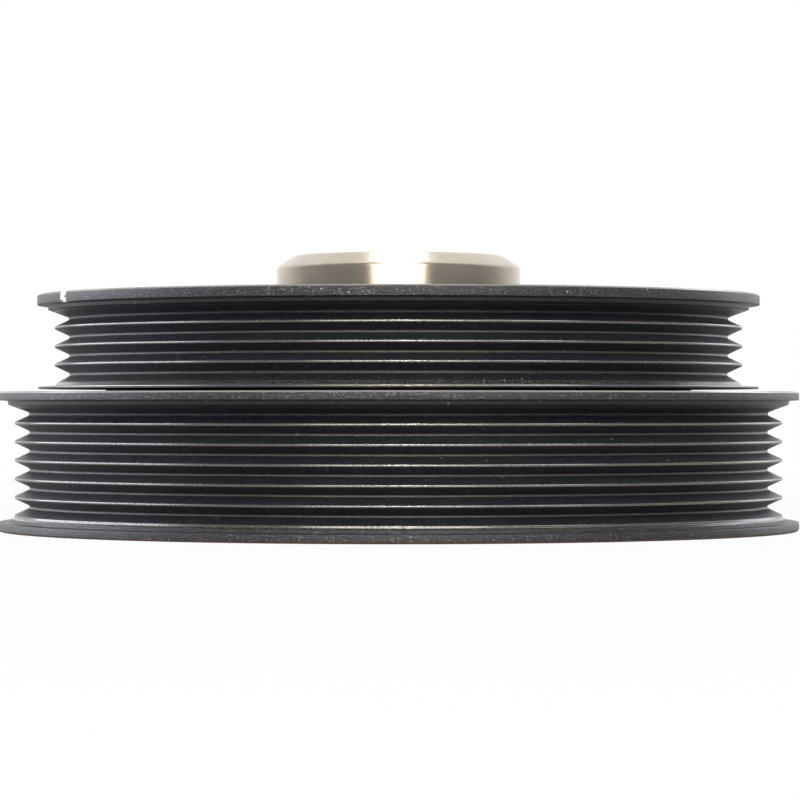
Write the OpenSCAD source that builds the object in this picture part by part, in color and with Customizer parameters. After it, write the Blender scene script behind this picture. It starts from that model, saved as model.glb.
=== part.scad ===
// Crankshaft damper pulley (harmonic balancer) for two V-ribbed belts.
// Z runs along the crankshaft. Z = 0 is the front face, which looks away from the engine,
// and the hub's nose points up, towards the engine.

/* [V-ribs] */
// Pitch from one groove to the next
rib_pitch = 3.56; // [3.5:0.01:3.6]
// Included angle of a groove, in degrees
groove_angle = 50; // [38:1:52]
// Width of the flat on top of a rib
rib_flat = 0.4; // [0.3:0.05:0.7]
// Radius at the bottom of a groove
groove_root_r = 0.4; // [0.3:0.05:0.8]

/* [Inertia ring] */
// Number of grooves of the large belt track
ring_grooves = 6; // [3:1:6]
// Height of the ring
ring_h = 26.6; // [26.4:0.05:26.7]
// Radius of its two flanges
ring_flange_r = 77.1; // [76.5:0.1:78]
// Radius over its ribs
ring_rib_r = 73.9; // [73:0.05:74.5]
// Radius of its bore, which the rubber lines
ring_bore_r = 60.5; // [60:0.1:64]
// Height of the lowest groove's centre
ring_groove_z = 4.6; // [4.3:0.05:4.65]

/* [Rear pulley] */
// Number of grooves of the small belt track
rear_grooves = 4; // [2:1:4]
// Height of its lower face, which sits on the hub's shoulder
rear_z = 27.15; // [27:0.05:27.2]
// Height of its upper face
rear_top_z = 45.2; // [45:0.05:46]
// Radius of its rear flange
rear_flange_r = 69.6; // [69:0.1:70.5]
// Radius over its ribs
rear_rib_r = 66.3; // [65.5:0.05:66.8]
// Radius of its bore, a press fit on the hub
rear_bore_r = 53.5; // [52.5:0.1:54]
// Height of its lowest groove's centre
rear_groove_z = 29.95; // [29.9:0.05:30.1]
// Width of the timing notch in the rear flange
timing_notch_w = 3.2; // [2:0.1:4]
// Depth of the timing notch
timing_notch_depth = 1.8; // [1:0.1:2.5]

/* [Hub] */
// Height of the nose's end face, the top of the whole part
nose_top_z = 52.95; // [51.5:0.05:56]
// Radius of the nose, which the oil seal runs on
nose_r = 23.5; // [22:0.1:25]
// Radius of the nose's flat end
nose_end_r = 20; // [18.5:0.1:21]
// Height of the chamfer at the nose's end
nose_chamfer_h = 2.3; // [1.5:0.05:3]
// Radius of the bore for the crankshaft
crank_bore_r = 15; // [13:0.1:16]
// Depth of the keyway beyond the bore
keyway_depth = 2.8; // [2:0.1:3.2]
// Width of the keyway
keyway_w = 6; // [4:0.5:8]
// Radius of the hole for the crankshaft bolt
bolt_hole_r = 8.5; // [7:0.1:10]
// Radius of the recess for the bolt's washer
washer_seat_r = 19; // [16:0.1:20]
// Outside radius of the rim that carries the rubber
rim_r = 56.5; // [56:0.1:57]
// Thickness of the web
web_t = 8.5; // [6:0.5:10]
// Number of windows in the web
window_count = 4; // [2:2:4]
// Radial width of a window
window_w = 12; // [8:0.5:12]
// Angle that a window's straight part spans, in degrees
window_span = 38; // [20:1:42]
// Radius of a threaded puller hole, at its tapping size
puller_hole_r = 3.4; // [2.5:0.1:4]

/* [Damper rubber] */
// Height of the rubber's front edge
rubber_z = 1.3; // [1:0.1:3]
// Height of the rubber's rear edge
rubber_top_z = 25.6; // [22:0.1:26]
// Clearance to the ring, which stands for the rubber's shear
rubber_gap = 0.02; // [0.01:0.01:0.1]

/* [Balance drillings] */
// Number of balance drillings in the ring's front face
drill_count = 3; // [1:1:6]
// Radius of a balance drilling
drill_r = 2; // [1:0.1:2.2]
// Depth of a balance drilling
drill_depth = 6; // [2:0.5:10]

/* [Hidden] */
$fn = 96;

flank = groove_angle / 2;                      // a flank's lean from the radius
half_mouth = (rib_pitch - rib_flat) / 2;       // half of a groove's width at the ribs' tops
root_edge = groove_root_r * cos(flank);        // half of a groove's width where its root arc starts
groove_depth = (half_mouth - root_edge) / tan(flank) + groove_root_r * (1 - sin(flank));
land_over_ribs = 1.25;                         // how far the land under a rear flange stands over the ribs
land_lift = 0.15;                              // its lower edge, above the last groove's mouth
flange_lean = 0.1;                             // lean of a flange's inner face
front_flange_t = 1.65;                         // thickness of the ring's front flange
front_step = 0.6;                              // step between that flange and the first groove
ring_land_top_z = 24.85;
rear_land_top_z = 43.1;
edge_break = 0.3;                              // small chamfers of turned edges
hub_front_z = 1;                               // the rim's front edge
boss_front_z = 4.2;                            // the front boss's face
washer_seat_z = 10;                            // the face that the bolt's washer bears on
bore_end_z = 18;                               // the inner end of the crankshaft bore
web_front_z = 16;
web_rear_z = web_front_z + web_t;
boss_r = 27;                                   // the web's central boss
boss_rear_z = 28.5;
nose_relief = 0.4;                             // undercut where the nose meets the boss
rim_in_r = 49;                                 // inside of the rim
hub_rear_z = 44.4;                             // the rim's rear edge, just below the rear pulley's face
rim_lean = 0.6;                                // casting draft of the rim and the boss
fillet_r = 4;                                  // casting fillets of the web
boss_fillet_r = 2.5;                           // the one round the rear boss, which is low
window_r = (boss_r + rim_in_r) / 2 + 0.1;      // middle of the windows, pads and puller holes
pad_r = 8;
pad_h = 1.5;
notch_turn = 207;                              // where the timing notch is, from +X
notch_floor_w = 0.8;
notch_z = 42.5;
drill_circle_r = 66;
drill_turn = 290;
drill_step = 8;

// Points of an arc round (r, z), from angle a0 to a1 in n steps.
function arc(r, z, rad, a0, a1, n = 5) =
    [for (i = [0:n]) let (a = a0 + (a1 - a0) * i / n) [r + rad * cos(a), z + rad * sin(a)]];

// The round bottom of a groove at height z.
function root(rib_r, z) =
    arc(rib_r - groove_depth + groove_root_r, z, groove_root_r, 270 - flank, 90 + flank, 4);

// The flat top of the rib above a groove at height z.
function rib(rib_r, z) =
    [[rib_r, z + half_mouth], [rib_r, z + half_mouth + rib_flat]];

// A row of grooves with the ribs between them, from the lowest root to the highest.
function grooves(rib_r, z, count) = [
    for (i = [0:count - 1])
        each concat(root(rib_r, z + i * rib_pitch), i < count - 1 ? rib(rib_r, z + i * rib_pitch) : [])
];

// Height of the last groove's upper mouth edge.
function mouth_top(z, count) = z + (count - 1) * rib_pitch + half_mouth;

// A slot of width w along the circle of radius r, with round ends.
module arc_slot(r, w, span, z0, z1) {
    translate([0, 0, z0]) {
        rotate([0, 0, -span / 2])
            rotate_extrude(angle = span)
                translate([r - w / 2, 0]) square([w, z1 - z0]);
        for (side = [-1, 1])
            rotate([0, 0, side * span / 2])
                translate([r, 0, 0]) cylinder(r = w / 2, h = z1 - z0);
    }
}

module inertia_ring() {
    land_r = ring_rib_r + land_over_ribs;
    step_r = ring_rib_r + front_step;
    profile = concat(
        [[ring_bore_r + 0.8, 0], [ring_flange_r - edge_break, 0], [ring_flange_r, edge_break],
         [ring_flange_r, front_flange_t], [step_r, front_flange_t + flange_lean],
         [step_r, front_flange_t + front_step], [ring_rib_r, front_flange_t + front_step + 0.4],
         [ring_rib_r, ring_groove_z - half_mouth]],
        grooves(ring_rib_r, ring_groove_z, ring_grooves),
        [[land_r, mouth_top(ring_groove_z, ring_grooves) + land_lift], [land_r, ring_land_top_z],
         [ring_flange_r, ring_land_top_z + flange_lean], [ring_flange_r, ring_h - edge_break],
         [ring_flange_r - edge_break, ring_h], [ring_bore_r + 0.8, ring_h],
         [ring_bore_r, ring_h - 0.8], [ring_bore_r, 0.8]]
    );
    color([0.10, 0.10, 0.11])
        difference() {
            rotate_extrude() polygon(profile);
            for (i = [0:drill_count - 1])
                rotate([0, 0, drill_turn + i * drill_step])
                    translate([drill_circle_r, 0, -1]) cylinder(r = drill_r, h = drill_depth + 1);
        }
}

module rear_pulley() {
    land_r = rear_rib_r + land_over_ribs;
    profile = concat(
        [[rear_bore_r, rear_z], [rear_flange_r - 0.2, rear_z], [rear_flange_r - 0.2, rear_z + 0.5],
         [rear_rib_r, rear_z + 0.6], [rear_rib_r - 0.6, rear_groove_z - half_mouth]],
        grooves(rear_rib_r, rear_groove_z, rear_grooves),
        [[land_r, mouth_top(rear_groove_z, rear_grooves) + land_lift], [land_r, rear_land_top_z],
         [rear_flange_r, rear_land_top_z + flange_lean], [rear_flange_r, rear_top_z - edge_break],
         [rear_flange_r - edge_break, rear_top_z], [rear_bore_r + 0.8, rear_top_z],
         [rear_bore_r, rear_top_z - 0.8]]
    );
    notch_in_r = rear_flange_r - timing_notch_depth;
    notch_out_r = rear_flange_r + 0.5;
    color([0.10, 0.10, 0.11])
        difference() {
            rotate_extrude() polygon(profile);
            rotate([0, 0, notch_turn])
                translate([0, 0, notch_z])
                    linear_extrude(rear_top_z - notch_z + 1)
                        polygon([[notch_in_r, -notch_floor_w / 2], [notch_out_r, -timing_notch_w / 2],
                                 [notch_out_r, timing_notch_w / 2], [notch_in_r, notch_floor_w / 2]]);
        }
}

module damper_rubber() {
    outer_r = ring_bore_r - rubber_gap;
    hollow_w = 0.8;                            // the shallow hollow of both free edges
    hollow_d = 0.5;
    color([0.04, 0.04, 0.04])
        rotate_extrude()
            polygon([[rim_r, rubber_z], [rim_r + hollow_w, rubber_z + hollow_d],
                     [outer_r - hollow_w, rubber_z + hollow_d], [outer_r, rubber_z],
                     [outer_r, rubber_top_z], [outer_r - hollow_w, rubber_top_z - hollow_d],
                     [rim_r + hollow_w, rubber_top_z - hollow_d], [rim_r, rubber_top_z]]);
}

// The turned hub, without its windows, holes and keyway.
module hub_body() {
    profile = concat(
        [[crank_bore_r, bore_end_z], [crank_bore_r, nose_top_z - 1], [crank_bore_r + 1, nose_top_z],
         [nose_end_r, nose_top_z], [nose_r, nose_top_z - nose_chamfer_h],
         [nose_r, boss_rear_z + 1.2], [nose_r - nose_relief, boss_rear_z + 0.8],
         [nose_r - nose_relief, boss_rear_z], [boss_r - 1, boss_rear_z], [boss_r, boss_rear_z - 1]],
        // rear side of the web, from the boss to the rim
        arc(boss_r + boss_fillet_r, web_rear_z + boss_fillet_r, boss_fillet_r, 180, 270),
        arc(rim_in_r - rim_lean - fillet_r, web_rear_z + fillet_r, fillet_r, 270, 360),
        [[rim_in_r, hub_rear_z - 1], [rim_in_r + 1, hub_rear_z], [rear_bore_r - 1, hub_rear_z],
         [rear_bore_r, hub_rear_z - 1], [rear_bore_r, rear_z], [rim_r, rear_z],
         [rim_r, hub_front_z + 0.8], [rim_r - 0.8, hub_front_z], [rim_in_r + 1, hub_front_z],
         [rim_in_r, hub_front_z + 1]],
        // front side of the web, from the rim to the boss
        arc(rim_in_r - rim_lean - fillet_r, web_front_z - fillet_r, fillet_r, 0, 90),
        arc(boss_r + rim_lean + fillet_r, web_front_z - fillet_r, fillet_r, 90, 180),
        [[boss_r, boss_front_z + 1], [boss_r - 1, boss_front_z],
         [washer_seat_r + 0.6, boss_front_z], [washer_seat_r, boss_front_z + 0.6],
         [washer_seat_r, washer_seat_z], [bolt_hole_r, washer_seat_z], [bolt_hole_r, bore_end_z]]
    );
    rotate_extrude() polygon(profile);
}

module hub() {
    spoke_step = 360 / window_count;
    color([0.12, 0.12, 0.13])
        difference() {
            union() {
                hub_body();
                for (turn = [0, 180])
                    rotate([0, 0, turn])
                        translate([window_r, 0, web_front_z - pad_h]) cylinder(r = pad_r, h = web_t);
            }
            for (i = [0:window_count - 1])
                rotate([0, 0, (i + 0.5) * spoke_step])
                    arc_slot(window_r, window_w, window_span, web_front_z - 3, web_rear_z + 3);
            for (turn = [0, 180])
                rotate([0, 0, turn])
                    translate([window_r, 0, web_front_z - pad_h - 1]) cylinder(r = puller_hole_r, h = web_t + 5);
            translate([-keyway_w / 2, 0, bore_end_z])
                cube([keyway_w, crank_bore_r + keyway_depth, nose_top_z]);
        }
}

hub();
rear_pulley();
damper_rubber();
inertia_ring();
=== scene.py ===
# %% [markdown]
# # A crankshaft damper pulley
#
# This lesson dresses a pulley that sits on the front end of an engine's crankshaft. It drives two flat
# belts with lengthwise ribs, and it damps the crankshaft's twisting with a ring of rubber. The construction
# already exists as an exact model, the frame. It is loaded first, and every piece made here is placed by it.

# %% Load the frame
import math

import bmesh
import bpy
from mathutils import Matrix, Vector


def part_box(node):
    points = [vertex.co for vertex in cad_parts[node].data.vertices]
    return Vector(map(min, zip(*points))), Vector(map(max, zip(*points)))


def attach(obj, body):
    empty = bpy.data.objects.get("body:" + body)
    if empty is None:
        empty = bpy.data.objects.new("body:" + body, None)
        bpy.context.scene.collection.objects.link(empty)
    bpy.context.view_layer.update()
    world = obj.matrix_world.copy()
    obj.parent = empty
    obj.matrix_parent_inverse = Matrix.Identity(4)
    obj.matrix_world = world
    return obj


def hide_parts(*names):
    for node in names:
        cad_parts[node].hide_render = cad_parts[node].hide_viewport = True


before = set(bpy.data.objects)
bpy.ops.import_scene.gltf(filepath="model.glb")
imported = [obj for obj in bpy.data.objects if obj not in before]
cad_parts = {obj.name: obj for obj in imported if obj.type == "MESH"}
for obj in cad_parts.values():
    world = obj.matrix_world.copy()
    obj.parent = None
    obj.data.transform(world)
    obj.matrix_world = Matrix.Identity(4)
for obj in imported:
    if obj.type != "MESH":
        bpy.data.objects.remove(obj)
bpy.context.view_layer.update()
print("nodes:", sorted(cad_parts))

# %% [markdown]
# ## Sizes
#
# The frame is in metres, and the pulley is easier to describe in millimetres, so one factor turns one into
# the other. A belt with ribs of the PK section has its ribs 3.56 mm apart, on every pulley. The outer sizes
# come from the boxes of the frame's own pieces, so they can't drift away from them.

# %% Driving sizes, in millimetres
MM = 0.001
PITCH = 3.56
FLANK = math.radians(25)
RIB_FLAT = 0.4
ROOT_ROUND = 0.4
HALF_MOUTH = (PITCH - RIB_FLAT) / 2
RIB_EDGE = 0.25
ROOT_DEPTH = HALF_MOUTH / math.tan(FLANK)
ROOT_LIFT = ROOT_ROUND * (1 / math.sin(FLANK) - 1)
RING_RIB_R = 73.9
REAR_RIB_R = 66.3

ring_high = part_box("inertia_ring")[1] / MM
rear_low, rear_high = (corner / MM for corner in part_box("rear_pulley"))
hub_low, hub_high = (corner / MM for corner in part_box("hub"))
rubber_low, rubber_high = (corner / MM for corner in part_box("damper_rubber"))
RING_FLANGE_R = ring_high.x
REAR_FLANGE_R = rear_high.x
HUB_RIM_R = hub_high.x
RUBBER_R = rubber_high.x
print("flanges:", round(RING_FLANGE_R, 1), round(REAR_FLANGE_R, 1), "rubber:", round(RUBBER_R, 2))

# %% [markdown]
# ## Turned shapes
#
# Nearly every surface here was cut on a lathe: the work turns and the tool follows an outline. Blender's
# spin does the same. The outline is a list of corners, each with the radius that its edge is rounded to,
# because a real edge is never sharp and it is the rounded edge that catches the light. Each corner becomes
# a short arc.

# %% Round the corners of an outline
def rounded(corners, steps=3):
    points = []
    count = len(corners)
    for i, (r, z, fillet) in enumerate(corners):
        here = Vector((r, z))
        if fillet == 0:
            points.append(here)
            continue
        back = (Vector(corners[i - 1][:2]) - here).normalized()
        ahead = (Vector(corners[(i + 1) % count][:2]) - here).normalized()
        half_angle = back.angle(ahead) / 2
        centre = here + (back + ahead).normalized() * fillet / math.sin(half_angle)
        start = here + back * fillet / math.tan(half_angle) - centre
        end = here + ahead * fillet / math.tan(half_angle) - centre
        arc_steps = steps if fillet < ROOT_ROUND else 2 * steps
        points += [centre + fillet * start.slerp(end, k / arc_steps) for k in range(arc_steps + 1)]
    return points


# %% Spin an outline round the crankshaft's axis
def turned(corners, steps=360):
    mesh = bmesh.new()
    verts = [mesh.verts.new((p.x * MM, 0, p.y * MM)) for p in rounded(corners)]
    edges = [mesh.edges.new((verts[i - 1], verts[i])) for i in range(len(verts))]
    bmesh.ops.spin(mesh, geom=verts + edges, cent=(0, 0, 0), axis=(0, 0, 1), dvec=(0, 0, 0),
                   angle=2 * math.pi, steps=steps, use_merge=True, use_duplicate=False)
    bmesh.ops.remove_doubles(mesh, verts=mesh.verts, dist=1e-7)
    bmesh.ops.recalc_face_normals(mesh, faces=mesh.faces)
    return mesh


# %% Turn a mesh into a piece of the object
def piece(name, mesh, materials, sharp_angle=30):
    data = bpy.data.meshes.new(name)
    mesh.to_mesh(data)
    mesh.free()
    for material in materials:
        data.materials.append(material)
    data.shade_smooth()
    data.set_sharp_from_angle(angle=math.radians(sharp_angle))
    result = bpy.data.objects.new(name, data)
    bpy.context.scene.collection.objects.link(result)
    return result


# %% [markdown]
# ## Cuts
#
# Windows, holes and the keyway aren't round about the axis, so they are cut out of the turned shape
# afterwards, as on the milling machine. All the cutters for one piece are closed shapes in a single mesh,
# and a Boolean modifier takes them away at once. A cutter's faces carry the number of a material, so that a
# freshly drilled hole in a black casting comes out bright.

# %% Cut one piece with a mesh of closed cutters
def cut(target, cutters, operation="DIFFERENCE"):
    bmesh.ops.recalc_face_normals(cutters, faces=cutters.faces)
    cutter = piece("cutter", cutters, list(target.data.materials))
    tool = target.modifiers.new("cut", "BOOLEAN")
    tool.operation = operation
    tool.solver = "MANIFOLD"
    tool.object = cutter
    graph = bpy.context.evaluated_depsgraph_get()
    result = bpy.data.meshes.new_from_object(target.evaluated_get(graph))
    target.modifiers.clear()
    old = target.data
    target.data = result
    bpy.data.meshes.remove(old)
    bpy.data.objects.remove(cutter)
    result.shade_smooth()
    result.set_sharp_from_angle(angle=math.radians(30))
    print(target.name, "has", len(result.polygons), "faces after the cut")


# %% Add a round cutter, such as a drill, to a mesh of cutters
def add_drill(mesh, outline, r, turn_deg, material_index=0, steps=48):
    verts = [mesh.verts.new((x * MM, 0, z * MM)) for x, z in outline]
    edges = [mesh.edges.new(pair) for pair in zip(verts, verts[1:])]
    bmesh.ops.spin(mesh, geom=verts + edges, cent=(0, 0, 0), axis=(0, 0, 1), dvec=(0, 0, 0),
                   angle=2 * math.pi, steps=steps, use_merge=True, use_duplicate=False)
    made = set(verts)
    for face in mesh.faces:
        if not face.tag:
            face.tag = True
            face.material_index = material_index
            made.update(face.verts)
    spot = Matrix.Rotation(math.radians(turn_deg), 4, "Z") @ Matrix.Translation((r * MM, 0, 0))
    bmesh.ops.transform(mesh, matrix=spot, verts=list(made))
    bmesh.ops.remove_doubles(mesh, verts=list(made), dist=1e-7)


# %% [markdown]
# ## Colours and nodes
#
# Colours are written as the eye knows them, in sRGB, and Blender computes in linear light, so one function
# turns one into the other. A second one adds a node with its settings and links in a single line.

# %% From a hex colour to linear light
def colour(text):
    def linear(value):
        return value / 12.92 if value <= 0.04045 else ((value + 0.055) / 1.055) ** 2.4
    channels = [int(text[i:i + 2], 16) / 255 for i in (1, 3, 5)]
    return (*map(linear, channels), 1.0)


# %% Start a material and add nodes to it
def new_material(name):
    material = bpy.data.materials.new(name)
    material.use_nodes = True
    material.node_tree.nodes.clear()
    return material, material.node_tree


def add(tree, kind, links=None, **settings):
    made = tree.nodes.new("ShaderNode" + kind)
    values = settings.pop("values", {})
    for name, value in settings.items():
        setattr(made, name, value)
    for socket, value in values.items():
        made.inputs[socket].default_value = value
    for socket, source in (links or {}).items():
        tree.links.new(source, made.inputs[socket])
    return made


# %% [markdown]
# ## Black electrocoat on turned cast iron
#
# The belt rings are grey cast iron, turned and then dipped in black electrocoat, a thin paint that an
# electric current draws onto the metal. It is satin, and so thin that the tool's marks and the iron's grain
# show through it as streaks along the turning and as small sparkles. On the ribs' tops the coat is rubbed
# through. One could paint the wear by hand, but here masks on the radius and the height find the rubbed
# places, so the wear stays where the belt runs. Patterns finer than 0.2 mm are drawn that coarse, as they
# would not show otherwise.

# %% The position on a piece, and its distance from the axis
def place(tree):
    where = add(tree, "TexCoord").outputs["Object"]
    flat = add(tree, "VectorMath", {0: where}, operation="MULTIPLY", values={1: (1, 1, 0)})
    radius = add(tree, "VectorMath", {0: flat.outputs[0]}, operation="LENGTH").outputs["Value"]
    return where, radius


# %% A mask between two values, with soft edges
def between(tree, value, low, high, soft):
    rising = add(tree, "MapRange", {"Value": value}, interpolation_type="SMOOTHSTEP",
                 values={"From Min": (low - soft) * MM, "From Max": (low + soft) * MM})
    falling = add(tree, "MapRange", {"Value": value}, interpolation_type="SMOOTHSTEP",
                  values={"From Min": (high - soft) * MM, "From Max": (high + soft) * MM,
                          "To Min": 1.0, "To Max": 0.0})
    both = add(tree, "Math", {0: rising.outputs[0], 1: falling.outputs[0]}, operation="MULTIPLY")
    return both.outputs[0]


# %% The coated rings' material
def electrocoat(name, rib_r, flange_r, track, bare_land, worn_edges):
    material, tree = new_material(name)
    where, radius = place(tree)
    height = add(tree, "SeparateXYZ", {0: where}).outputs["Z"]

    # Turning streaks, 0.2 mm high and many times longer along the turning.
    streak_place = add(tree, "Mapping", {"Vector": where}, values={"Scale": (160, 160, 5200)})
    streaks = add(tree, "TexNoise", {"Vector": streak_place.outputs[0]},
                  values={"Scale": 1.0, "Detail": 3.0, "Roughness": 0.6})
    # Grain of the iron under the coat, about 0.3 mm.
    grain_place = add(tree, "Mapping", {"Vector": where}, values={"Scale": (2200, 2200, 4400)})
    grain = add(tree, "TexNoise", {"Vector": grain_place.outputs[0]},
                values={"Scale": 1.0, "Detail": 3.0, "Roughness": 0.7})
    # Cloudy differences in the coat's thickness, about 20 mm.
    clouds = add(tree, "TexNoise", {"Vector": where}, values={"Scale": 50.0, "Detail": 3.0})

    coat = add(tree, "ValToRGB", {"Fac": clouds.outputs["Fac"]})
    coat.color_ramp.elements[0].position = 0.35
    coat.color_ramp.elements[0].color = colour("#0a101b")
    coat.color_ramp.elements[1].position = 0.7
    coat.color_ramp.elements[1].color = colour("#15181f")
    speckle = add(tree, "MapRange", {"Value": grain.outputs["Fac"]},
                  values={"From Min": 0.35, "From Max": 0.75, "To Min": 0.0, "To Max": 0.07})
    speckled = add(tree, "Mix", {"Factor": speckle.outputs[0], "A": coat.outputs["Color"]},
                   data_type="RGBA", values={"B": colour("#5f6164")})
    # Dust that settled in the grooves, specks of 0.2 mm.
    cells = add(tree, "TexVoronoi", {"Vector": where}, values={"Scale": 330.0})
    dust = add(tree, "MapRange", {"Value": cells.outputs["Distance"]},
               values={"From Min": 0.035, "From Max": 0.06, "To Min": 0.8, "To Max": 0.0})
    dusty = add(tree, "Mix", {"Factor": dust.outputs[0], "A": speckled.outputs["Result"]},
                data_type="RGBA", values={"B": colour("#b9bcc0")})
    # On the belt track the coat is rubbed through on the ribs' tops, and thin in the grooves' bottoms.
    tops = between(tree, radius, rib_r - 0.07, rib_r + 0.06, 0.05)
    root_r = rib_r - ROOT_DEPTH + ROOT_LIFT
    roots = add(tree, "Math", {0: between(tree, radius, root_r - 0.2, root_r + 0.05, 0.03)},
                operation="MULTIPLY", values={1: 0.4})
    tops_and_roots = add(tree, "Math", {0: tops, 1: roots.outputs[0]}, operation="MAXIMUM")
    on_track = between(tree, height, *track, 0.05)
    # Bare flecks of iron where the coat pulled back from the tool marks, fewer on the belt track.
    share = add(tree, "MapRange", {"Value": on_track}, values={"To Min": 0.85, "To Max": 0.25})
    flecks = add(tree, "MapRange", {"Value": grain.outputs["Fac"], "To Max": share.outputs[0]},
                 values={"From Min": 0.55, "From Max": 0.66})
    marks = add(tree, "Math", {0: tops_and_roots.outputs[0], 1: on_track}, operation="MULTIPLY")
    land = between(tree, height, *bare_land, 0.06)
    near_ribs = between(tree, radius, rib_r - 1, rib_r + 0.65, 0.05)
    lands = add(tree, "Math", {0: land, 1: near_ribs}, operation="MULTIPLY")
    track_marks = add(tree, "Math", {0: marks.outputs[0], 1: lands.outputs[0]}, operation="MAXIMUM")
    patches = add(tree, "MapRange", {"Value": grain.outputs["Fac"]},
                  values={"From Min": 0.38, "From Max": 0.55, "To Min": 0.5, "To Max": 1.0})
    track_patches = add(tree, "Math", {0: track_marks.outputs[0], 1: patches.outputs[0]},
                        operation="MULTIPLY")
    track_worn = add(tree, "Math", {0: track_patches.outputs[0], 1: flecks.outputs[0]}, operation="MAXIMUM")
    # The flanges' edges are worn bright.
    rim = between(tree, radius, flange_r - 0.5, flange_r + 0.1, 0.1)
    bands = [between(tree, height, low, high, 0.05) for low, high in worn_edges]
    all_bands = bands[0]
    for band in bands[1:]:
        all_bands = add(tree, "Math", {0: all_bands, 1: band}, operation="MAXIMUM").outputs[0]
    edges = add(tree, "Math", {0: all_bands, 1: rim}, operation="MULTIPLY").outputs[0]
    worn = add(tree, "Math", {0: track_worn.outputs[0], 1: edges}, operation="MAXIMUM")
    rubbed = add(tree, "Math", {0: track_marks.outputs[0], 1: edges}, operation="MAXIMUM")

    bare = add(tree, "Mix", {"Factor": edges}, data_type="RGBA",
               values={"A": colour("#858483"), "B": colour("#a9a7a4")})
    bared = add(tree, "Mix", {"Factor": worn.outputs[0], "A": dusty.outputs["Result"],
                              "B": bare.outputs["Result"]}, data_type="RGBA")
    # A painted reflection: a brown band round the lowest outer edge stands for the warm floor reflected
    # there.
    painted_floor_reflection = add(tree, "Math", {0: between(tree, height, 0.05, 0.3, 0.05), 1: rim}, operation="MULTIPLY")
    base = add(tree, "Mix", {"Factor": painted_floor_reflection.outputs[0], "A": bared.outputs["Result"]},
               data_type="RGBA", values={"B": colour("#5c3b2e")})
    sheen = add(tree, "MapRange", {"Value": grain.outputs["Fac"]},
                values={"From Min": 0.3, "From Max": 0.7, "To Min": 0.3, "To Max": 0.42})
    shiny = add(tree, "Math", {0: rubbed.outputs[0], 1: flecks.outputs[0]}, operation="MAXIMUM")
    polish = add(tree, "Mix", {"Factor": shiny.outputs[0], "A": sheen.outputs[0]}, values={"B": 0.18})
    relief = add(tree, "MapRange", {"Value": rubbed.outputs[0]}, values={"To Min": 1.0, "To Max": 0.12})
    bump_streaks = add(tree, "Bump", {"Height": streaks.outputs["Fac"], "Strength": relief.outputs[0]},
                       values={"Distance": 0.00003})
    bump_grain = add(tree, "Bump", {"Height": grain.outputs["Fac"], "Strength": relief.outputs[0],
                                    "Normal": bump_streaks.outputs[0]},
                     values={"Distance": 0.00014})
    surface = add(tree, "BsdfPrincipled",
                  {"Base Color": base.outputs["Result"], "Metallic": worn.outputs[0],
                   "Roughness": polish.outputs["Result"], "Normal": bump_grain.outputs[0]},
                  values={"IOR": 1.5})
    add(tree, "OutputMaterial", {"Surface": surface.outputs[0]})
    return material


RING_TRACK = (2, 24.8)
RING_LAND = (2.3, 2.9)
RING_WORN_EDGES = [(26.3, 26.56)]
REAR_TRACK = (27.8, 43)
REAR_LAND = (27.8, 28.4)
REAR_WORN_EDGES = [(27.15, 27.25), (27.5, 27.75), (44.95, 45.16)]
ring_coat = electrocoat("black electrocoat, large ring", RING_RIB_R, RING_FLANGE_R, RING_TRACK, RING_LAND,
                        RING_WORN_EDGES)
rear_coat = electrocoat("black electrocoat, rear pulley", REAR_RIB_R, REAR_FLANGE_R, REAR_TRACK, REAR_LAND,
                        REAR_WORN_EDGES)
print("coated materials made")

# %% [markdown]
# ## Coated casting
#
# The hub's web and rim keep their cast skin. Sand leaves a fine pebbly surface, and the black coat lies over
# it, so it is duller than the turned rings and has no streaks.

# %% The cast skin's material
def cast_skin():
    material, tree = new_material("black electrocoat, cast skin")
    where = place(tree)[0]
    pebbles = add(tree, "TexNoise", {"Vector": where},
                  values={"Scale": 900.0, "Detail": 4.0, "Roughness": 0.6})
    pits = add(tree, "TexVoronoi", {"Vector": where}, values={"Scale": 450.0})
    clouds = add(tree, "TexNoise", {"Vector": where}, values={"Scale": 60.0, "Detail": 3.0})
    coat = add(tree, "ValToRGB", {"Fac": clouds.outputs["Fac"]})
    coat.color_ramp.elements[0].position = 0.35
    coat.color_ramp.elements[0].color = colour("#1b1b1d")
    coat.color_ramp.elements[1].position = 0.7
    coat.color_ramp.elements[1].color = colour("#2c2a29")
    skin = add(tree, "Math", {0: pebbles.outputs["Fac"], 1: pits.outputs["Distance"]}, operation="ADD")
    bump = add(tree, "Bump", {"Height": skin.outputs[0]}, values={"Strength": 0.6, "Distance": 0.0002})
    sheen = add(tree, "MapRange", {"Value": pebbles.outputs["Fac"]},
                values={"From Min": 0.3, "From Max": 0.7, "To Min": 0.42, "To Max": 0.62})
    surface = add(tree, "BsdfPrincipled",
                  {"Base Color": coat.outputs["Color"], "Roughness": sheen.outputs[0],
                   "Normal": bump.outputs[0]},
                  values={"IOR": 1.5})
    add(tree, "OutputMaterial", {"Surface": surface.outputs[0]})
    return material


hub_skin = cast_skin()

# %% [markdown]
# ## Bare turned iron
#
# The nose, the bores and the bolt's seat are turned after coating, so they are bare. The seal runs on the
# nose, and its finish is fine and even, with marks that run round it. It is warm grey, and it stains a
# little where it was handled.

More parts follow.
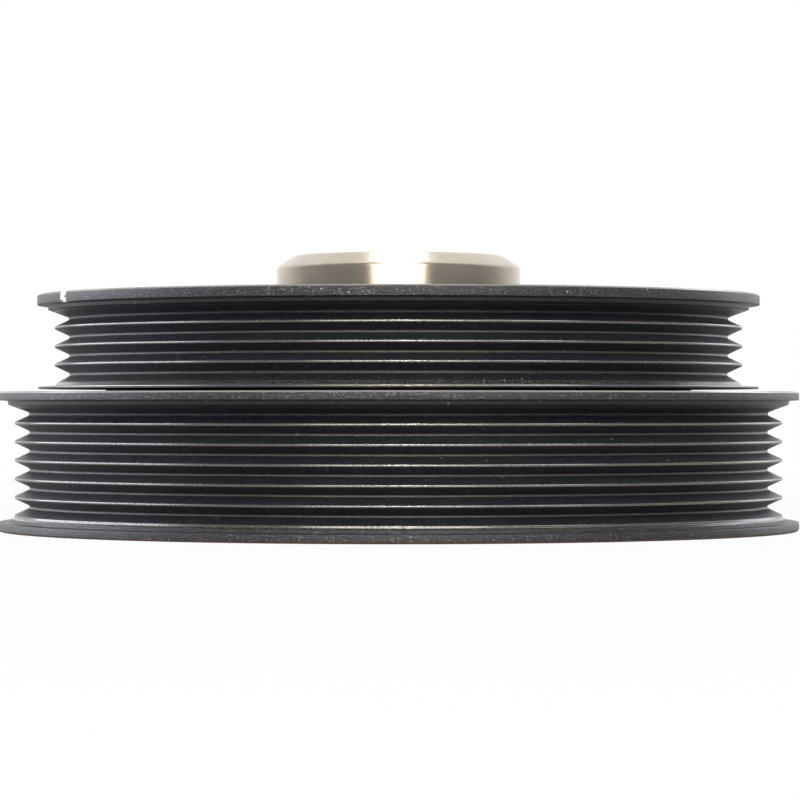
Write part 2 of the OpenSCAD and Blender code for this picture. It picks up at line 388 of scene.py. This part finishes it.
# %% The bare metal's material
def bare_iron(name, light, dark, roughness, mark_mm):
    material, tree = new_material(name)
    where, radius = place(tree)
    height = add(tree, "SeparateXYZ", {0: where}).outputs["Z"]
    along = add(tree, "Math", {0: radius, 1: height}, operation="ADD")
    line_place = add(tree, "CombineXYZ", {"Z": along.outputs[0]})
    lines = add(tree, "TexNoise", {"Vector": line_place.outputs[0]},
                values={"Scale": 1000 / mark_mm, "Detail": 2.0})
    stains = add(tree, "TexNoise", {"Vector": where},
                 values={"Scale": 120.0, "Detail": 5.0, "Roughness": 0.6})
    tint = add(tree, "ValToRGB", {"Fac": stains.outputs["Fac"]})
    tint.color_ramp.elements[0].position = 0.3
    tint.color_ramp.elements[0].color = colour(dark)
    tint.color_ramp.elements[1].position = 0.7
    tint.color_ramp.elements[1].color = colour(light)
    # Pin-holes of the casting, a few tenths of a millimetre wide and far apart.
    cells = add(tree, "TexVoronoi", {"Vector": where}, values={"Scale": 130.0})
    pores = add(tree, "MapRange", {"Value": cells.outputs["Distance"]},
                values={"From Min": 0.02, "From Max": 0.035, "To Min": 0.25, "To Max": 1.0})
    pitted = add(tree, "Mix", {"A": tint.outputs["Color"], "B": pores.outputs[0]},
                 data_type="RGBA", blend_type="MULTIPLY", values={"Factor": 1.0})
    bump = add(tree, "Bump", {"Height": lines.outputs["Fac"]}, values={"Strength": 0.2, "Distance": 0.00001})
    turning = add(tree, "Tangent", direction_type="RADIAL", axis="Z")
    surface = add(tree, "BsdfPrincipled",
                  {"Base Color": pitted.outputs["Result"], "Normal": bump.outputs[0],
                   "Tangent": turning.outputs[0]},
                  values={"Metallic": 1.0, "Roughness": roughness, "Anisotropic": 0.85,
                          "Anisotropic Rotation": 0.25})
    add(tree, "OutputMaterial", {"Surface": surface.outputs[0]})
    return material


journal_iron = bare_iron("turned iron, seal journal", "#dcd2c4", "#cdc1b1", 0.26, 0.12)
drilled_iron = bare_iron("drilled iron", "#b3aaa0", "#968d84", 0.42, 0.3)
print("bare metals made")

# %% [markdown]
# ## Rubber
#
# The damper's ring is black synthetic rubber, squeezed in between hub and ring. It is matt and slightly
# grey, with the fine texture of its mould. A plain dark colour would look like a hole, so the grey bloom
# and the texture are what make it read as rubber.

# %% The rubber's material
def moulded_rubber():
    material, tree = new_material("moulded rubber")
    where = place(tree)[0]
    fine = add(tree, "TexNoise", {"Vector": where}, values={"Scale": 1500.0, "Detail": 3.0})
    bloom = add(tree, "TexNoise", {"Vector": where}, values={"Scale": 90.0, "Detail": 4.0})
    tint = add(tree, "ValToRGB", {"Fac": bloom.outputs["Fac"]})
    tint.color_ramp.elements[0].position = 0.35
    tint.color_ramp.elements[0].color = colour("#121213")
    tint.color_ramp.elements[1].position = 0.75
    tint.color_ramp.elements[1].color = colour("#232322")
    bump = add(tree, "Bump", {"Height": fine.outputs["Fac"]},
               values={"Strength": 0.4, "Distance": 0.00005})
    surface = add(tree, "BsdfPrincipled", {"Base Color": tint.outputs["Color"], "Normal": bump.outputs[0]},
                  values={"Roughness": 0.68, "IOR": 1.52})
    add(tree, "OutputMaterial", {"Surface": surface.outputs[0]})
    return material


rubber = moulded_rubber()

# %% [markdown]
# ## Timing paint
#
# A dab of white paint fills the timing notch, so that a mechanic sees it past the belts. Specks of dirt
# break it up, as it was dabbed on by hand over a dusty casting.

# %% The paint's material
def timing_paint():
    material, tree = new_material("white timing paint")
    where = place(tree)[0]
    dirt = add(tree, "TexNoise", {"Vector": where}, values={"Scale": 1400.0, "Detail": 3.0})
    tint = add(tree, "ValToRGB", {"Fac": dirt.outputs["Fac"]})
    tint.color_ramp.elements[0].position = 0.42
    tint.color_ramp.elements[0].color = colour("#4a4744")
    tint.color_ramp.elements[1].position = 0.48
    tint.color_ramp.elements[1].color = colour("#f0eee8")
    surface = add(tree, "BsdfPrincipled", {"Base Color": tint.outputs["Color"]}, values={"Roughness": 0.5})
    add(tree, "OutputMaterial", {"Surface": surface.outputs[0]})
    return material


white_paint = timing_paint()

# %% [markdown]
# ## Belt grooves
#
# A groove is a V with 50 degrees between its flanks. In the outline it is one corner deep in the iron, and
# the rounding of that corner makes the groove's round bottom. The corners on either side of it are the ribs'
# tops. A cut for each groove would do too, but an outline is spun in one go.

# %% A row of grooves as outline corners
def groove_row(rib_r, first_z, count):
    corners = []
    for i in range(count):
        z = first_z + i * PITCH
        if i > 0:
            corners.append((rib_r, z - HALF_MOUTH, RIB_EDGE))
        corners.append((rib_r - ROOT_DEPTH, z, ROOT_ROUND))
        if i < count - 1:
            corners.append((rib_r, z + HALF_MOUTH, RIB_EDGE))
    return corners


# %% [markdown]
# ## The inertia ring
#
# The large ring carries the six-groove track between two flanges, and its weight is what the damper works
# with. It was balanced by drilling its front face, so a few shallow holes with conical ends are in it.

# %% The ring's outline and body
RING_GROOVE_Z = 4.6
RING_TOP = ring_high.z
RING_BORE_R = 60.5
LAND_OVER_RIBS = 1.25
LAND_LIFT = 0.15
last_mouth = RING_GROOVE_Z + 5 * PITCH + HALF_MOUTH
land_r = RING_RIB_R + LAND_OVER_RIBS
ring_outline = [
    (RING_BORE_R + 0.8, 0, 0.2), (RING_FLANGE_R - 0.3, 0, 0.1), (RING_FLANGE_R, 0.3, 0.2),
    (RING_FLANGE_R, 1.65, 0.18), (RING_RIB_R + 0.6, 1.75, 0.12), (RING_RIB_R + 0.6, 2.25, 0.15),
    (RING_RIB_R, 2.65, 0.1), (RING_RIB_R, RING_GROOVE_Z - HALF_MOUTH, 0.15),
    *groove_row(RING_RIB_R, RING_GROOVE_Z, 6),
    (land_r, last_mouth + LAND_LIFT, 0.15), (land_r, 24.85, 0.3), (RING_FLANGE_R, 24.95, 0.15),
    (RING_FLANGE_R, RING_TOP - 0.3, 0.12), (RING_FLANGE_R - 0.3, RING_TOP, 0.1),
    (RING_BORE_R + 0.8, RING_TOP, 0.2), (RING_BORE_R, RING_TOP - 0.8, 0.2), (RING_BORE_R, 0.8, 0.2),
]
inertia_ring = piece("inertia_ring_turned", turned(ring_outline), [ring_coat, drilled_iron])
print("inertia ring:", len(inertia_ring.data.polygons), "faces")


# %% Its balance drillings
DRILL_R = 2.0
DRILL_DEPTH = 6.0
DRILLED_R = 66
FIRST_DRILLING_DEG = 290
DRILLING_STEP_DEG = 8
DRILL_HALF_ANGLE = math.radians(59)
drill_tip = DRILL_DEPTH + DRILL_R / math.tan(DRILL_HALF_ANGLE)
drill_outline = [(0, -1), (DRILL_R, -1), (DRILL_R, DRILL_DEPTH), (0, drill_tip)]
drillings = bmesh.new()
for i in range(3):
    add_drill(drillings, drill_outline, DRILLED_R, FIRST_DRILLING_DEG + DRILLING_STEP_DEG * i, 1, 32)
cut(inertia_ring, drillings)
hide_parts("inertia_ring")
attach(inertia_ring, "inertia_ring")

# %% [markdown]
# ## The rear pulley
#
# The small ring has the four-groove track for the second belt. Its rear flange has a V-shaped notch in the
# rim, with which the engine's timing is set. The ring is spun like the large one, and the notch is a wedge
# cut out of it, whose walls take the paint's material.

# %% The rear pulley's outline and notch
REAR_GROOVE_Z = 29.95
REAR_BORE_R = 53.5
REAR_LOW = rear_low.z
REAR_TOP = rear_high.z
last_mouth = REAR_GROOVE_Z + 3 * PITCH + HALF_MOUTH
land_r = REAR_RIB_R + LAND_OVER_RIBS
rear_outline = [
    (REAR_BORE_R, REAR_LOW, 0.1), (REAR_FLANGE_R - 0.2, REAR_LOW, 0.12),
    (REAR_FLANGE_R - 0.2, REAR_LOW + 0.5, 0.15), (REAR_RIB_R, REAR_LOW + 0.6, 0.12),
    (REAR_RIB_R - 0.6, REAR_GROOVE_Z - HALF_MOUTH, 0.12),
    *groove_row(REAR_RIB_R, REAR_GROOVE_Z, 4),
    (land_r, last_mouth + LAND_LIFT, 0.15), (land_r, 43.1, 0.3), (REAR_FLANGE_R, 43.2, 0.12),
    (REAR_FLANGE_R, REAR_TOP - 0.3, 0.12), (REAR_FLANGE_R - 0.3, REAR_TOP, 0.1),
    (REAR_BORE_R + 0.8, REAR_TOP, 0.15), (REAR_BORE_R, REAR_TOP - 0.8, 0.15),
]
rear_pulley = piece("rear_pulley_turned", turned(rear_outline), [rear_coat, white_paint])
print("rear pulley:", len(rear_pulley.data.polygons), "faces")


# %% The timing notch
NOTCH_DEPTH = 1.8
NOTCH_W = 3.2
NOTCH_DEG = 207
notch = bmesh.new()
notch_in = REAR_FLANGE_R - NOTCH_DEPTH
notch_out = REAR_FLANGE_R + 0.5
corners = [(notch_in, -0.4), (notch_out, -NOTCH_W / 2), (notch_out, NOTCH_W / 2), (notch_in, 0.4)]
floor_face = notch.faces.new([notch.verts.new((x * MM, y * MM, 42.5 * MM)) for x, y in corners])
raised = bmesh.ops.extrude_face_region(notch, geom=[floor_face])
tops = [v for v in raised["geom"] if isinstance(v, bmesh.types.BMVert)]
bmesh.ops.translate(notch, verts=tops, vec=(0, 0, 5 * MM))
notch_turn = Matrix.Rotation(math.radians(NOTCH_DEG), 3, "Z")
bmesh.ops.rotate(notch, verts=notch.verts, cent=(0, 0, 0), matrix=notch_turn)
for face in notch.faces:
    face.material_index = 1
cut(rear_pulley, notch)
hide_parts("rear_pulley")
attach(rear_pulley, "hub")

# %% [markdown]
# ## The damper's rubber
#
# Both free edges of the ring are slightly hollow, because the rubber was squeezed in from one side and
# pulls in between the two walls it sticks to. It could be a plain tube, but then its edges would catch no
# light.

# %% The rubber ring
rubber_outline = [
    (HUB_RIM_R, rubber_low.z, 0), (HUB_RIM_R + 0.9, rubber_low.z + 0.5, 0.6),
    (RUBBER_R - 0.9, rubber_low.z + 0.5, 0.6), (RUBBER_R, rubber_low.z, 0),
    (RUBBER_R, rubber_high.z, 0), (RUBBER_R - 0.9, rubber_high.z - 0.5, 0.6),
    (HUB_RIM_R + 0.9, rubber_high.z - 0.5, 0.6), (HUB_RIM_R, rubber_high.z, 0),
]
rubber_ring = piece("damper_rubber_ring", turned(rubber_outline, 240), [rubber], sharp_angle=50)
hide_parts("damper_rubber")
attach(rubber_ring, "hub")
print("rubber ring:", len(rubber_ring.data.polygons), "faces")

# %% [markdown]
# ## The hub
#
# The hub is one casting: a nose that slides over the crankshaft's end, a web with windows that save weight,
# and the rim that carries the rings. Its outline is spun like the others, and then the windows, the puller
# holes and the keyway are cut. The windows' edges were rounded by the sand mould, so the cutter itself
# flares at both ends.

# %% The hub's outline and body
NOSE_R = 23.5
BORE_R = 15.0
NOSE_TOP = hub_high.z
HUB_FRONT = hub_low.z
WEB_FRONT = 16.0
WEB_REAR = 24.5
BOSS_R = 27.0
RIM_IN_R = 49.0
hub_outline = [
    (BORE_R, 18, 0), (BORE_R, NOSE_TOP - 1, 0.2), (BORE_R + 1, NOSE_TOP, 0.2), (20, NOSE_TOP, 3),
    (NOSE_R, NOSE_TOP - 2.3, 0.9), (NOSE_R, 29.7, 0), (NOSE_R - 0.4, 29.3, 0), (NOSE_R - 0.4, 28.5, 0.2),
    (BOSS_R - 1, 28.5, 0.4), (BOSS_R, 27.5, 0.4), (BOSS_R, WEB_REAR, 2.4),
    (RIM_IN_R - 0.6, WEB_REAR, 4), (RIM_IN_R, 43.4, 0.2), (RIM_IN_R + 1, 44.4, 0.3), (52.5, 44.4, 0.3),
    (53.5, 43.4, 0), (53.5, REAR_LOW, 0), (HUB_RIM_R, REAR_LOW, 0),
    (HUB_RIM_R, HUB_FRONT + 0.8, 0.2), (HUB_RIM_R - 0.8, HUB_FRONT, 0.2), (RIM_IN_R + 1, HUB_FRONT, 0.3),
    (RIM_IN_R, HUB_FRONT + 1, 0.3), (RIM_IN_R - 0.6, WEB_FRONT, 4), (BOSS_R + 0.6, WEB_FRONT, 4),
    (BOSS_R, 5.2, 0.3), (BOSS_R - 1, 4.2, 0.3), (19.6, 4.2, 0.15), (19, 4.8, 0.15),
    (19, 10, 0.3), (8.5, 10, 0.2), (8.5, 18, 0),
]
hub = piece("hub_casting", turned(hub_outline), [hub_skin, journal_iron, drilled_iron])
print("the hub has", len(hub.data.polygons), "faces before its cuts")


# %% Cutters for windows, holes and keyway
WINDOW_R = (BOSS_R + RIM_IN_R) / 2 + 0.1
WINDOW_W = 12.0
WINDOW_SPAN = math.radians(38)


def slot_outline(width, steps=24):
    half = width / 2
    start, end = -WINDOW_SPAN / 2, WINDOW_SPAN / 2
    angles = [start + (end - start) * i / steps for i in range(steps + 1)]
    outer = [((WINDOW_R + half) * math.cos(a), (WINDOW_R + half) * math.sin(a)) for a in angles]
    back = reversed(angles)
    inner = [((WINDOW_R - half) * math.cos(a), (WINDOW_R - half) * math.sin(a)) for a in back]

    def cap(at, first):
        turns = [first + math.pi * i / 12 for i in range(1, 12)]
        x, y = WINDOW_R * math.cos(at), WINDOW_R * math.sin(at)
        return [(x + half * math.cos(t), y + half * math.sin(t)) for t in turns]

    return outer + cap(end, end) + inner + cap(start, start + math.pi)


def add_window(mesh, turn_deg):
    flare = 1.0
    levels = [(WEB_FRONT - 3, flare), (WEB_FRONT - 0.001, flare)]
    quarter = [math.radians(90) * i / 4 for i in range(1, 5)]
    levels += [(WEB_FRONT + flare * math.sin(q), flare * (1 - math.sin(q)) ** 2) for q in quarter]
    levels += [(WEB_FRONT + WEB_REAR - z, w) for z, w in reversed(levels)]
    turn = Matrix.Rotation(math.radians(turn_deg), 3, "Z")
    loops = []
    for z, widen in levels:
        points = slot_outline(WINDOW_W + 2 * widen)
        ring = [mesh.verts.new(turn @ Vector((x * MM, y * MM, z * MM))) for x, y in points]
        loops.append([mesh.edges.new((ring[i - 1], ring[i])) for i in range(len(ring))])
    for low, high in zip(loops, loops[1:]):
        bmesh.ops.bridge_loops(mesh, edges=low + high)
    for loop in (loops[0], loops[-1]):
        bmesh.ops.contextual_create(mesh, geom=loop)


# %% Pads and cuts of the hub
PAD_R = 8.0
PAD_FACE = WEB_FRONT - 1.5
HOLE_R = 3.4
pad_outline = [(0, WEB_FRONT + 3), (PAD_R, WEB_FRONT + 3), (PAD_R, PAD_FACE + 0.3), (PAD_R - 0.3, PAD_FACE),
               (0, PAD_FACE)]
hole_outline = [(0, PAD_FACE - 2), (HOLE_R + 0.8, PAD_FACE - 2), (HOLE_R + 0.8, PAD_FACE),
                (HOLE_R, PAD_FACE + 0.8), (HOLE_R, WEB_REAR + 2), (0, WEB_REAR + 2)]
pads = bmesh.new()
for turn in (0, 180):
    add_drill(pads, pad_outline, WINDOW_R, turn)
cut(hub, pads, "UNION")

hub_cuts = bmesh.new()
for turn in (0, 180):
    add_drill(hub_cuts, hole_outline, WINDOW_R, turn, 2)
for turn in (45, 135, 225, 315):
    add_window(hub_cuts, turn)
key = bmesh.ops.create_cube(hub_cuts, size=1.0)["verts"]
bmesh.ops.scale(hub_cuts, verts=key, vec=(6 * MM, 17.8 * MM, 40 * MM))
bmesh.ops.translate(hub_cuts, verts=key, vec=(0, 17.8 / 2 * MM, (18 + 20) * MM))
for face in {face for vert in key for face in vert.link_faces}:
    face.material_index = 2
cut(hub, hub_cuts)
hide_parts("hub")
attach(hub, "hub")

# %% [markdown]
# Bare metal on the hub is wherever the lathe went last: the nose, the bore, the bolt's seat and the front
# boss. The faces are picked by where they lie, which is surer than picking them by hand after the cuts.

# %% Choose the hub's bare faces
BARE = 1
for face in hub.data.polygons:
    centre = face.center / MM
    reach = centre.xy.length
    nose = reach < NOSE_R + 0.1 and centre.z > 28.4
    front = reach < BOSS_R - 0.2 and centre.z < 19
    if face.material_index == 0 and (nose or front or reach < 20):
        face.material_index = BARE
print("bare faces:", sum(f.material_index == BARE for f in hub.data.polygons))

# %% [markdown]
# ## The stage
#
# The pulley stands on a plain white floor, which keeps a faint shadow near it and turns pure white farther
# off, so no horizon shows. The camera sees a white background. In reflections it is white behind the pulley
# and dimmer in front, like a room behind the camera. It lights the object only gently, so that the lamps
# give it its form.

# %% Floor and world
def white_floor():
    material, tree = new_material("white floor")
    ray = add(tree, "LightPath")
    away = add(tree, "MapRange", {"Value": place(tree)[1]}, interpolation_type="SMOOTHSTEP",
               values={"From Min": 0.12, "From Max": 0.7, "To Min": 0.94, "To Max": 1.0})
    share = add(tree, "Math", {0: ray.outputs["Is Camera Ray"], 1: away.outputs[0]},
                operation="MULTIPLY")
    matt = add(tree, "BsdfDiffuse", values={"Color": colour("#dedede")})
    glow = add(tree, "Emission", values={"Strength": 1.0})
    both = add(tree, "MixShader", {0: share.outputs[0], 1: matt.outputs[0], 2: glow.outputs[0]})
    add(tree, "OutputMaterial", {"Surface": both.outputs[0]})
    return material


floor_mesh = bmesh.new()
# A hair below the front face, as two faces in one plane would show through each other.
FLOOR_HALF = 4
below = Matrix.Translation((0, 0, -0.05 * MM))
bmesh.ops.create_grid(floor_mesh, x_segments=1, y_segments=1, size=FLOOR_HALF, matrix=below)
floor = piece("floor", floor_mesh, [white_floor()])

world = bpy.data.worlds.new("studio")
bpy.context.scene.world = world
world.use_nodes = True
sky = world.node_tree
sky.nodes.clear()
ray = add(sky, "LightPath")
mirrored = add(sky, "Math", {0: ray.outputs["Is Glossy Ray"], 1: ray.outputs["Is Transmission Ray"]},
               operation="MAXIMUM")
direction = add(sky, "SeparateXYZ", {0: add(sky, "TexCoord").outputs["Generated"]})
raised = add(sky, "Math", {0: direction.outputs["Z"], 2: direction.outputs["Y"]}, operation="MULTIPLY_ADD",
             values={1: 0.7})
room = add(sky, "MapRange", {"Value": raised.outputs[0]}, interpolation_type="SMOOTHSTEP",
           values={"From Min": 0.1, "From Max": 0.95, "To Min": 0.31, "To Max": 1.0})
dim = add(sky, "Background", values={"Color": colour("#ffffff"), "Strength": 0.45})
studio = add(sky, "Background", {"Strength": room.outputs[0]}, values={"Color": colour("#ffffff")})
white = add(sky, "Background", values={"Color": colour("#ffffff"), "Strength": 1.0})
lit = add(sky, "MixShader", {0: mirrored.outputs[0], 1: dim.outputs[0], 2: studio.outputs[0]})
both = add(sky, "MixShader", {0: ray.outputs["Is Camera Ray"], 1: lit.outputs[0], 2: white.outputs[0]})
add(sky, "OutputWorld", {"Surface": both.outputs[0]})


# %% [markdown]
# ## Lamps
#
# A broad soft box stands in front, above the camera. A weaker one behind the top and a small bright one
# above the camera make the nose's highlight and the sparkle on the worn ribs. Two stand at the right and
# one at the left. Black satin paint shows little but their reflections, so where they stand decides where
# the rings look grey and where they stay black.

# %% Soft boxes
def soft_box(name, azimuth_deg, height, distance, width, tall, radiance, tint):
    light = bpy.data.lights.new(name, "AREA")
    light.shape = "RECTANGLE"
    light.size = width
    light.size_y = tall
    light.energy = radiance * math.pi * width * tall
    light.color = colour(tint)[:3]
    lamp = bpy.data.objects.new(name, light)
    turn = math.radians(azimuth_deg)
    lamp.location = (distance * math.sin(turn), -distance * math.cos(turn), height)
    aim = Vector((0, 0, 0.03)) - lamp.location
    lamp.rotation_euler = aim.to_track_quat("-Z", "Y").to_euler()
    bpy.context.scene.collection.objects.link(lamp)
    return lamp


soft_box("front box", 0, 0.4, 1.1, 1.06, 1.2, 3.3, "#fff5e8")
soft_box("top strip", 180, 1.0, 0.47, 0.26, 0.5, 5.0, "#ffffff")
soft_box("spark", 2, 0.7, 1.0, 0.12, 0.12, 45, "#fff8ee")
crown_strip = soft_box("crown strip", 0, 1.1, 0.15, 0.3, 1.0, 3.5, "#fff3e2")
left_box = soft_box("left box", -102, 0.3, 1.0, 1.3, 0.9, 3.3, "#f0f5ff")
right_box = soft_box("right box", 50, 0.75, 0.9, 0.5, 0.5, 4.0, "#ffffff")
rear_box = soft_box("right rear box", 132, 0.3, 1.0, 0.5, 0.9, 1.7, "#f0f5ff")

# The three side boxes light the belt rings only, as cards that stand below the nose would, and the strip
# above lights the hub only, where it closes the gap between the nose's two highlights.
rings_only = bpy.data.collections.new("lit from the sides")
for ring in (inertia_ring, rear_pulley):
    rings_only.objects.link(ring)
for box in (left_box, right_box, rear_box):
    box.light_linking.receiver_collection = rings_only
hub_only = bpy.data.collections.new("lit from above")
hub_only.objects.link(hub)
crown_strip.light_linking.receiver_collection = hub_only
print("lamps:", sorted(lamp.name for lamp in bpy.data.lights))

# %% [markdown]
# ## Camera
#
# A long lens close to the floor, level with the lower ring, so the grooves are seen edge on. A small shift
# sets the object a little below the middle of the frame.

# %% The camera
CAMERA_DISTANCE = 0.7055
CAMERA_HEIGHT = 0.02373
camera_data = bpy.data.cameras.new("camera")
camera_data.lens = 164
camera_data.sensor_width = 36
camera_data.shift_x = 0.0019
camera_data.shift_y = 0.0085
camera = bpy.data.objects.new("camera", camera_data)
camera.location = (0, -CAMERA_DISTANCE, CAMERA_HEIGHT)
camera.rotation_euler = (math.radians(90), 0, 0)
bpy.context.scene.collection.objects.link(camera)
bpy.context.scene.camera = camera
bpy.context.scene.view_settings.view_transform = "Standard"
